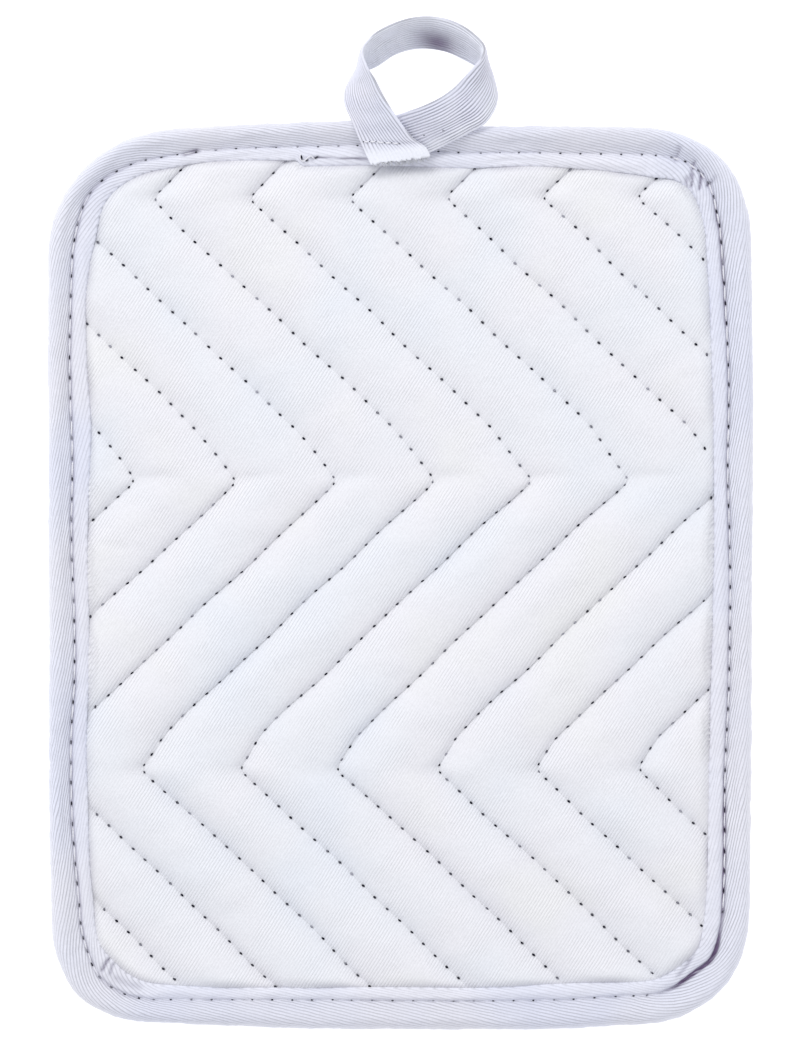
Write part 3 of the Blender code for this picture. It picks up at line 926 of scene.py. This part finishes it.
def loop_face():
    """The loop's middle surface on a grid along and across it, with its square directions and lengths.

    Low and high edges run on curves through the sections; the tape between them is cupped by a parabola."""
    rows = np.array([row[1:] for row in LOOP_SECTIONS])
    apart = np.linalg.norm(rows[:, 3:] - rows[:, :2], axis=1)
    lift = np.sqrt(np.maximum(LOOP_WIDTH**2 - apart**2, 0))
    lift[:len(LOOP_RISES)] = LOOP_RISES
    both = smooth_rows(np.column_stack([rows, rows[:, 2] + lift]), LOOP_STEPS + 1)
    margin = LOOP_EDGE / 2 / LOOP_WIDTH
    count = round(LOOP_WIDTH / LOOP_PITCH * LOOP_RIB_POINTS)
    share = np.linspace(margin, 1 - margin, count)[None, :, None]
    face = both[:, None, :3] * (1 - share) + both[:, None, 3:] * share
    along = np.gradient(face, axis=0)
    out = unit(np.cross((both[:, 3:] - both[:, :3])[:, None], along))
    across = unit(np.cross(along, out))
    face = face + out * LOOP_CUPPING * (1 - (2 * share - 1) ** 2)
    length = lengths((both[:, :3] + both[:, 3:]) / 2)[:, None]
    return face, out, across, length, share[0, :, 0] * LOOP_WIDTH


def inner_shade(points):
    """Shade of the loop's inner face: two bells, one within the other, drawn out along the top."""
    x, y, turn = INNER_SHADE
    forward, sideways = turned(points[..., 0] - x, points[..., 1] - y, turn)
    bells = [
        strength * bell(forward, long) * bell(sideways, wide)
        for strength, long, wide in INNER_BELLS
    ]
    return sum(bells) * smooth((points[..., 1] - 129.0) / 3.0)


def crossing_shade(points, length):
    """Shade that the cut end's leg throws on the other leg beneath it, falling off to the right."""
    x, y = points[..., 0], points[..., 1]
    beside = x - np.interp(y, *COVERED_FROM)
    width, strength = CROSSING_SHADE
    return strength * bell(np.maximum(beside, 0), width) * (length > OTHER_LEG) * smooth((y - 108.0) / 3.0)


def loop_tape():
    """The loop as a flattened closed section: two ribbed faces a thickness apart, with rounded edges.

    A rib's height is a cosine of its place across the tape. The tack row presses a trough across the cut
    end, the inner face steps down at the edge of its folded layer, and the cut end is uneven. The inner face
    of the top is in the shade, and so is the leg that lies under the cut end."""
    face, out, across, length, width = loop_face()
    spot = pairs(length, width)
    place = width + 0.10 * waves(spot * [0.35, 1.0], 5.0, 51)
    to_edge = np.minimum(width, LOOP_WIDTH - width)
    flat = smooth(to_edge / 2.2)
    raw_end = 1 - smooth((length - 2.2) / 3.6)
    strong = np.clip(0.85 + 0.35 * waves(spot * [1.0, 0.6], 9.0, 53), 0.35, 1.4)
    strong = strong * smooth(to_edge / 0.9) * (1 - 0.8 * raw_end)
    ribs = -LOOP_RIB * strong * np.cos(2 * np.pi * place / LOOP_PITCH)
    soft = 0.05 * waves(spot, 5.0, 52) * smooth(to_edge / 2.0)
    layer = 0.32 * smooth((width - 1.5) / 0.3) * smooth((LOOP_WIDTH - width) / 2.5)
    layer = layer * smooth((face[..., 0] - 6.0) / 5.0) - 0.16 * flat
    tack = bell(face[..., 1] - TACK_TROUGH[0], TACK_TROUGH[1]) * (length < TACK_END)
    half = (LOOP_EDGE + (LOOP_THICKNESS - LOOP_EDGE) * flat) / 2
    outer = face + out * (half + ribs + soft - TACK_TROUGH[2] * tack)[..., None]
    inner = face - out * (half + ribs + layer - soft)[..., None]
    high, low = (
        rounded(face[:, end, None], out[:, end, None], way * across[:, end, None], LOOP_EDGE / 2, angles)
        for end, way, angles in ((-1, 1, LOOP_ROUNDING), (0, -1, LOOP_ROUNDING[::-1]))
    )
    section = np.concatenate([outer, high, inner[:, ::-1], low], axis=1)
    rows, columns = section.shape[:2]
    fray = np.random.default_rng(61).uniform(-0.7, 0.4, columns)
    fray = 0.5 * fray + 0.25 * (np.roll(fray, 1) + np.roll(fray, -1))
    back = unit(section[0] - section[3]) * fray[:, None]
    section[0] += back
    section[1] += 0.5 * back
    turn = np.ones((1, 3))
    first, last = place[:, :1], place[:, -1:]
    developed = np.concatenate([place, last * turn, place[:, ::-1], first * turn, first], axis=1)
    outside = slice(0, len(width))
    inside = slice(len(width) + 3, 2 * len(width) + 3)
    shade = np.zeros((rows, columns))
    shade[:, outside] = crossing_shade(section[:, outside], length)
    shade[:, inside] = inner_shade(section[:, inside])
    ironed = 0.9 * raw_end * np.ones((1, columns))
    pale = ironed.copy()
    # ribs are flattened in colour inside the painted shadow on the other leg, and on the inner face, which
    # paints it lighter
    ironed[:, outside] += 3.0 * shade[:, outside]
    ironed[:, inside] = 0.2
    # painted light: a paler strip along the low edge of the other leg
    pale[:, outside] += 0.5 * smooth((3.8 - width) / 1.2) * (length > OTHER_LEG)
    # painted light: the whole inner face is made paler
    pale[:, inside] = np.maximum(pale[:, inside], 0.9)
    faces = ring_faces(rows, columns, rows - 1)[:, TURNED_ROUND].tolist()
    ends = np.arange(columns)
    faces += [ends[::-1].tolist(), (ends + (rows - 1) * columns).tolist()]
    uv = tape_places(length[:, 0], developed)[:, TURNED_ROUND].reshape(-1, 2)
    uv = np.concatenate([uv, np.zeros((2 * columns, 2))])
    section = section.reshape(-1, 3)
    return surface_mesh("loop_tape", section, faces, uv, fold_shade=shade, ironed=ironed, pale=pale)


def on_loop(places):
    """Points of the loop's outer face nearest to places seen from above, with their square directions."""
    face, out, _, _, _ = loop_face()
    outer = face + out * LOOP_THICKNESS / 2
    hidden = np.where(out[..., 2] > 0.2, 0, 99)
    apart = np.linalg.norm(outer[None, ..., :2] - places[:, None, None], axis=-1) + hidden
    nearest = apart.reshape(len(places), -1).argmin(axis=1)
    return outer.reshape(-1, 3)[nearest], out.reshape(-1, 3)[nearest]


def yarn_ends():
    """Ends of yarn that stand out of the loop's raw cut: short tapering tubes, each a little off its rib."""
    face, out, _, _, width = loop_face()
    draw = np.random.default_rng(62)
    column = draw.integers(1, len(width) - 1, YARN_ENDS)
    back = unit(face[0] - face[3])[column]
    up = out[0][column]
    side = np.cross(up, back)
    start = face[1][column] + up * draw.uniform(-0.5, 0.55, (YARN_ENDS, 1))
    t = np.linspace(0, 1, 6)[None, :, None]
    reach = draw.uniform(0.6, 1.8, (YARN_ENDS, 1, 1))
    turn = draw.normal(0, 0.4, (YARN_ENDS, 1, 1))
    droop = draw.uniform(-0.25, 0.1, (YARN_ENDS, 1, 1))
    centres = start[:, None] + back[:, None] * reach * t + side[:, None] * turn * reach * t**1.5
    centres = centres + up[:, None] * droop * reach * t**2
    points, faces = tubes(centres, YARN * (1 - 0.6 * t[0, :, 0] ** 2), up[:, None], corners=5)
    return surface_mesh("yarn_ends", points, faces, pale=np.ones(len(points)))


# Stitching


def tubes(centres, radii, up, corners=6):
    """Points and faces of many round tubes, whose paths are arrays of paths by steps by 3."""
    along = unit(np.gradient(centres, axis=1))
    side = unit(np.cross(along, up + 0 * along))
    return closed_rings(centres, side, np.cross(side, along), radii, corners)


def closed_rings(centres, side, above, radii, corners):
    """Points and faces of rings of corners round each path, closed at both ends.

    A corner lies out from its centre by side times the cosine and above times the sine of its angle."""
    angle = np.linspace(0, 2 * np.pi, corners, endpoint=False)[:, None]
    ring = side[:, :, None] * np.cos(angle) + above[:, :, None] * np.sin(angle)
    count, steps = centres.shape[:2]
    points = centres[:, :, None] + ring * np.broadcast_to(radii, (count, steps))[:, :, None, None]
    start = np.arange(count)[:, None] * steps * corners
    faces = start[..., None] + ring_faces(steps, corners, steps - 1)[:, TURNED_ROUND]
    ends = np.arange(corners)
    caps = np.concatenate([start + ends[::-1], start + (steps - 1) * corners + ends])
    return points.reshape(-1, 3), faces.reshape(-1, 4).tolist() + caps.tolist()


def stitches(name, starts, ends, up, radius, rise):
    """Thread from hole to hole: an arc that leaves one hole, lies on the cloth and goes down the next."""
    t = np.linspace(0, 1, 7)
    arc = np.sin(np.pi * t) ** 0.5
    lift = arc[None, :, None] * np.reshape(rise, (-1, 1, 1)) - 0.9 * radius
    share = HOLE_SHARE + (1 - 2 * HOLE_SHARE) * t[None, :, None]
    centres = starts[:, None] * (1 - share) + ends[:, None] * share + up[:, None] * lift
    return surface_mesh(name, *tubes(centres, radius * (0.45 + 0.55 * arc), up[:, None]))


def needle_holes(name, places, along, up, size):
    """Painted shadow of each needle hole: a dark lens drawn out along the seam, all but level with the cloth.
    """
    length, width, height = (np.reshape(value, (-1, 1, 1)) for value in size)
    along = unit(along - up * (along * up).sum(axis=1, keepdims=True))
    level = np.array([-1.0, -0.55, 0.0, 0.55, 1.0])[None, :, None]
    narrow = np.sqrt(np.maximum(1 - level**2, 0.02))
    centres = places[:, None] + along[:, None] * length * level
    side = np.cross(up, along)[:, None] * width * narrow
    return surface_mesh(name, *closed_rings(centres, side, up[:, None] * height * narrow, 1.0, 8))


def quilt_holes():
    """For each seam, its number and the places of its needle holes: where the stitch count is near whole."""
    found = []
    draw = np.random.default_rng(71)
    for seam, total in zip(SEAMS, COUNTS):
        whole = np.arange(np.ceil(total[0]), np.floor(total[-1]) + 1)
        whole = whole + draw.normal(0, 0.035, len(whole))
        y = np.interp(whole, total, FINE_Y)
        turns = np.full(len(y), float(seam))
        points = on_line(turns, y)
        depth, _ = lip_depth(points)
        shown = (depth > 0.4) & (inset(points) > 8)
        if shown.any():
            found.append((turns[shown], points[shown]))
    return found


def between_rows(height, turns, y):
    """Height of a face of the pad at each y of a seam, on the straight line between its rows of points."""
    below = PAD_FOOT + np.floor((y - PAD_FOOT) / PAD_ROW) * PAD_ROW
    share = (y - below) / PAD_ROW
    rows = (below, below + PAD_ROW)
    low, high = (height(turns, on_line(turns, row)) for row in rows)
    return low * (1 - share) + high * share


def quilting():
    """Thread and needle holes of the quilting on both faces."""
    pieces = []
    for face, height, way in (("top", pad_top, 1.0), ("under", pad_under, -1.0)):
        rows = []
        for turns, points in quilt_holes():
            spots = np.column_stack([uneven(points), between_rows(height, turns, points[:, 1])])
            slopes = np.gradient(spots, axis=0) if len(spots) > 1 else np.ones((1, 3))
            rows.append((spots[:-1], spots[1:], spots, slopes, 1 - 0.25 * by_point(points[:, 1])))
        starts, ends, spots, slopes, scales = (np.concatenate(values) for values in zip(*rows))
        near = np.linalg.norm(ends - starts, axis=1) < LONGEST * QUILT_STITCH
        up = np.tile([0.0, 0.0, way], (len(spots), 1))
        thread = stitches(f"quilting_thread_{face}", starts[near], ends[near], up[:near.sum()], THREAD, 0.22)
        size = [value * scales for value in HOLE]
        places = spots + up * HOLE_LIFT
        holes = needle_holes(f"quilting_holes_{face}", places, slopes * HOLE_TURN, up, size)
        pieces += [(thread, "thread"), (holes, "hole")]
    return pieces


def topstitching():
    """Thread and needle holes of the binding's topstitching on both sides.

    Along the two long sides the thread lies on the cloth; along the top and the bottom it sinks into it."""
    pieces = []
    whole = np.linspace(0, AROUND, round(AROUND / EDGE_STITCH) + 1)
    whole = whole + np.random.default_rng(72).normal(0, 0.12, len(whole))
    covered = (whole < UNDER_LOOP[1]) | (whole > AROUND + UNDER_LOOP[0])
    for _, first, last, _, depth, _ in GROOVE_FOLDS:
        covered |= (first < whole) & (whole < last) & (depth > 0)
    faces = (("top", SEWN_KNOTS[0], whole[~covered]), ("under", SEWN_KNOTS[1], whole[:-1]))
    for face, knot, distance in faces:
        spots, up = on_binding(distance, knot)
        starts = spots[:-1]
        ends = spots[1:]
        near = np.linalg.norm(ends - starts, axis=1) < LONGEST * EDGE_STITCH
        upright = unit(up[:-1] + up[1:])
        slant = np.cross(upright, unit(ends - starts)) * THREAD_SLANT
        starts, ends = (starts + slant)[near], (ends - slant)[near]
        rise = 0.05 + 0.50 * np.abs(unit(ends - starts)[:, 1]) ** 5
        thread = stitches(f"topstitching_thread_{face}", starts, ends, upright[near], EDGE_THREAD, rise)
        slopes = unit(np.gradient(spots, axis=0))
        size = (0.28 + 0.28 * np.abs(slopes[:, 1]), 0.19, 0.16)
        holes = needle_holes(f"topstitching_holes_{face}", spots + up * 0.12, slopes, up, size)
        pieces += [(thread, "thread"), (holes, "hole")]
    return pieces


def tacking():
    """Thread and needle holes of the row that tacks the loop's ends to the binding."""
    pieces = []
    for number, (row, lift, size) in enumerate((
        (CUT_END_TACKS, -0.2, (0.20, 0.13, 0.12)),
        (OTHER_LEG_TACKS, 0.05, (0.34, 0.24, 0.16)),
    )):
        places, up = on_loop(np.array(row))
        if row is CUT_END_TACKS:
            starts = places - up * 0.15
            thread = stitches("tacking_thread", starts[:-1], starts[1:], unit(up[:-1] + up[1:]), 0.22, 0.30)
            pieces.append((thread, "thread"))
        along = np.tile([1.0, 0.15, 0.0], (len(places), 1))
        pieces.append((needle_holes(f"tacking_holes_{number}", places + up * lift, along, up, size), "hole"))
    return pieces


def loose_thread():
    """The knotted end of thread on the lip beside the loop, on a curve through its bends, and its holes."""
    upright = np.array([0.0, 0.0, 1.0])
    centres = smooth_rows(np.array(LOOSE_THREAD), 25)[None]
    thread = surface_mesh("loose_thread", *tubes(centres, 0.21, upright))
    x, y, z, long, wide, angle = np.array(LOOSE_HOLES).T
    along = np.column_stack([*turned(1.0, 0.0, -angle), 0 * angle])
    up = np.tile(upright, (len(x), 1))
    places = np.column_stack([x, y, z])
    holes = needle_holes("loose_thread_holes", places, along, up, (long, wide, 0.25 + 0 * x))
    return [(thread, "thread"), (holes, "hole")]


# Finishes


def new_material(name, roughness, sheen, specular=0.25):
    """A material with its shader, ready for its pattern."""
    made = bpy.data.materials.new(name)
    made.use_nodes = True
    shader = made.node_tree.nodes["Principled BSDF"]
    shader.inputs["Roughness"].default_value = roughness
    shader.inputs["Sheen Weight"].default_value = sheen
    shader.inputs["Sheen Roughness"].default_value = 0.45
    shader.inputs["Specular IOR Level"].default_value = specular
    return made, made.node_tree, shader


def node(tree, kind, **values):
    """Adds a node and sets or links its inputs by name, or its own settings where no input has that name."""
    made = tree.nodes.new(kind)
    for key, value in values.items():
        label = key.replace("_", " ")
        if isinstance(value, bpy.types.NodeSocket):
            tree.links.new(value, made.inputs[label])
        elif label in made.inputs:
            made.inputs[label].default_value = value
        else:
            setattr(made, key, value)
    return made


def mixed(tree, share, first, second, blend="MIX"):
    """Colour mix of two sockets or colours by a share."""
    made = tree.nodes.new("ShaderNodeMix")
    made.data_type = "RGBA"
    made.blend_type = blend
    for socket, value in ((made.inputs[0], share), (made.inputs[6], first), (made.inputs[7], second)):
        if isinstance(value, bpy.types.NodeSocket):
            tree.links.new(value, socket)
        elif isinstance(value, tuple):
            socket.default_value = (*value, 1.0)
        else:
            socket.default_value = value
    return made.outputs[2]


def ramp(tree, value, stops):
    """Colour ramp over a socket: places and colours."""
    made = node(tree, "ShaderNodeValToRGB", Fac=value)
    elements = made.color_ramp.elements
    while len(elements) < len(stops):
        elements.new(0.5)
    for element, (place, colour) in zip(elements, stops):
        element.position = place
        element.color = (*colour, 1.0)
    return made.outputs["Color"]


def grey(value):
    """A colour of that strength."""
    return (value,) * 3


def object_place(tree):
    """Places on the piece itself, in metres."""
    return node(tree, "ShaderNodeTexCoord").outputs["Object"]


def noise(tree, scale, detail=1.0, roughness=0.5):
    """Soft random variation over the piece."""
    made = node(
        tree, "ShaderNodeTexNoise", Vector=object_place(tree), Scale=scale, Detail=detail, Roughness=roughness
    )
    return made.outputs["Fac"]


def attribute(tree, name):
    """A value that the mesh holds for each of its points."""
    return node(tree, "ShaderNodeAttribute", attribute_name=name).outputs["Fac"]


def rib_waves(tree, coordinate, turn, pitch, waver):
    """Even ridges across a direction, a pitch apart, with the slight waver of woven yarn."""
    mapping = node(tree, "ShaderNodeMapping", Vector=coordinate, Rotation=(0.0, 0.0, np.radians(turn)))
    scale = 2 * np.pi / 20 / (pitch * METRE)  # the wave texture has 20 radians to a unit
    place = mapping.outputs["Vector"]
    wave = node(
        tree, "ShaderNodeTexWave", Vector=place, Scale=scale, Distortion=waver, Detail=2.0, Detail_Scale=0.9
    )
    return wave.outputs["Fac"]


def finish_with(tree, shader, colour, relief, strength, distance):
    """Gives the shader its colour and its bump."""
    tree.links.new(colour, shader.inputs["Base Color"])
    bumped = node(tree, "ShaderNodeBump", Height=relief, Strength=strength, Distance=distance * METRE)
    tree.links.new(bumped.outputs["Normal"], shader.inputs["Normal"])


def twill(name, coordinate_kind, tints, turn, pitch, waver, rib_depth, faded, bump, roughness, sheen):
    """Twill: ribs in colour and bump that fade here and there, broad soft tints, and fine yarn mottling."""
    made, tree, shader = new_material(name, roughness, sheen)
    if coordinate_kind == "uv":
        coordinate = node(tree, "ShaderNodeUVMap", uv_map="along_tape").outputs["UV"]
    else:
        coordinate = object_place(tree)
    ribs = rib_waves(tree, coordinate, turn, pitch, waver)
    valley = ramp(tree, ribs, ((0.0, grey(1 - rib_depth)), (0.5, grey(1.0))))
    worn = ramp(tree, noise(tree, 120.0), ((0.40, grey(0.0)), (0.62, grey(faded))))
    # flatter ribs: the pressed lip, the frayed end, and under the loop's painted shade and light
    ironed = attribute(tree, "ironed")
    valley = mixed(tree, worn, valley, grey(1 - 0.25 * rib_depth))
    valley = mixed(tree, ironed, valley, grey(1.0))
    tint = ramp(tree, noise(tree, 32.0, 2.0), tints)
    # paler where the mesh's pale value says: frayed yarn, and painted light on the loop
    tint = mixed(tree, attribute(tree, "pale"), tint, PALE_COLOUR)
    # painted shade: the cloth's colour is mixed towards the shade colours by the mesh's fold_shade
    folded = attribute(tree, "fold_shade")
    tint = mixed(tree, folded, tint, mixed(tree, folded, *SHADE_COLOURS))
    fine = noise(tree, 1800.0, 2.0, 0.6)
    yarn = ramp(tree, fine, ((0.3, grey(0.925)), (0.7, grey(1.0))))
    colour = mixed(tree, 1.0, mixed(tree, 1.0, tint, valley, "MULTIPLY"), yarn, "MULTIPLY")
    relief = mixed(tree, 0.18, mixed(tree, ironed, ribs, grey(0.5)), fine)
    finish_with(tree, shader, colour, relief, bump, 0.12)
    return made


def thread_finish():
    """White sewing thread: fine twist in bump, slightly glossy."""
    made, tree, shader = new_material("thread_white", 0.5, 0.2)
    fibre = noise(tree, 3500.0)
    colour = ramp(tree, fibre, ((0.3, (0.72, 0.72, 0.78)), (0.7, (0.86, 0.86, 0.90))))
    finish_with(tree, shader, colour, fibre, 0.4, 0.05)
    return made


def hole_finish():
    """The shadow inside a needle hole: near black, a little lighter in some holes."""
    made, tree, shader = new_material("needle_hole_dark", 1.0, 0.0, 0.0)
    stops = ((0.44, (0.018, 0.018, 0.028)), (0.55, (0.08, 0.08, 0.10)), (0.66, (0.34, 0.34, 0.39)))
    tree.links.new(ramp(tree, noise(tree, 260.0), stops), shader.inputs["Base Color"])
    return made


# Floor, light and camera


def studio():
    """A pale lit floor, a soft light from the upper left, even light all round and a camera above."""
    scene = bpy.context.scene
    scene.view_settings.view_transform = "Standard"
    scene.world = bpy.data.worlds.new("even_light")
    scene.world.use_nodes = True
    background = scene.world.node_tree.nodes["Background"]
    background.inputs["Color"].default_value = (0.96, 0.97, 1.0, 1.0)
    background.inputs["Strength"].default_value = WORLD_LIGHT

    mesh = bpy.data.meshes.new("pale_floor")
    sides = ((-1, -1), (1, -1), (1, 1), (-1, 1))
    corners = [(x * FLOOR_REACH, y * FLOOR_REACH, FLOOR_LEVEL) for x, y in sides]
    mesh.from_pydata(corners, [], [(0, 1, 2, 3)])
    finish, _, shader = new_material("floor_white", 0.9, 0.0)
    shader.inputs["Base Color"].default_value = (0.80, 0.80, 0.80, 1.0)
    shader.inputs["Emission Color"].default_value = (1.0, 1.0, 1.0, 1.0)
    shader.inputs["Emission Strength"].default_value = FLOOR_GLOW
    mesh.materials.append(finish)
    floor = placed("pale_floor", mesh)

    lamp = bpy.data.lights.new("window_light", "AREA")
    lamp.shape = "DISK"
    lamp.size = KEY_SIZE
    lamp.energy = KEY_POWER
    lamp.color = (1.0, 0.995, 0.985)
    key = placed("window_light", lamp, KEY_PLACE)
    key.rotation_euler = (-Vector(KEY_PLACE)).to_track_quat("-Z", "Y").to_euler()

    camera = bpy.data.cameras.new("overhead_camera")
    camera.sensor_width = SENSOR
    camera.lens = SENSOR * CAMERA_HEIGHT / VIEW_HEIGHT
    camera.clip_start = 0.05
    camera.clip_end = 20.0
    above = (VIEW_MIDDLE[0] * METRE, VIEW_MIDDLE[1] * METRE, (CAMERA_HEIGHT + 4.0) * METRE)
    scene.camera = placed("overhead_camera", camera, above)


# The whole

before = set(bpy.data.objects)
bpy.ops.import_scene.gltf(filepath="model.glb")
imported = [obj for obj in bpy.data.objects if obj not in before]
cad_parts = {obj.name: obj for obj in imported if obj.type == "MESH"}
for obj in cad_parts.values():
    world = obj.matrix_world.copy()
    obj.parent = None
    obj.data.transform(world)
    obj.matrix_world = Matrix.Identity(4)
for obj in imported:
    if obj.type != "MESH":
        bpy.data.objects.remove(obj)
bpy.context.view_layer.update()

finishes = {
    "pad": twill(
        "twill_white", "object", TINTS["pad"], turn=PAD_RIB_TURN, pitch=PAD_RIB_PITCH, waver=1.3,
        rib_depth=0.20, faded=0.75, bump=0.55, roughness=0.85, sheen=0.15,
    ),
    "tape": twill(
        "tape_white", "uv", TINTS["tape"], turn=90.0 - RIB_BIAS, pitch=RIB_PITCH, waver=0.7,
        rib_depth=0.43, faded=0.3, bump=0.6, roughness=0.8, sheen=0.35,
    ),
    "loop": twill(
        "loop_white", "uv", TINTS["loop"], turn=90.0, pitch=LOOP_PITCH, waver=0.6,
        rib_depth=0.44, faded=0.3, bump=0.2, roughness=0.8, sheen=0.35,
    ),
    "thread": thread_finish(),
    "hole": hole_finish(),
}

pad = quilted_cloth()
binding = binding_tape()
loop = loop_tape()
for piece, finish in ((pad, "pad"), (binding, "tape"), (loop, "loop")):
    piece.data.materials.append(finishes[finish])

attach(pad, "root")
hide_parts("quilted_pad")

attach(binding, "root")
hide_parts("edge_binding")

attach(loop, "root")
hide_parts("hanging_loop")

for piece, finish in quilting() + topstitching() + tacking() + loose_thread() + [(yarn_ends(), "loop")]:
    piece.data.materials.append(finishes[finish])
    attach(piece, "root")

studio()
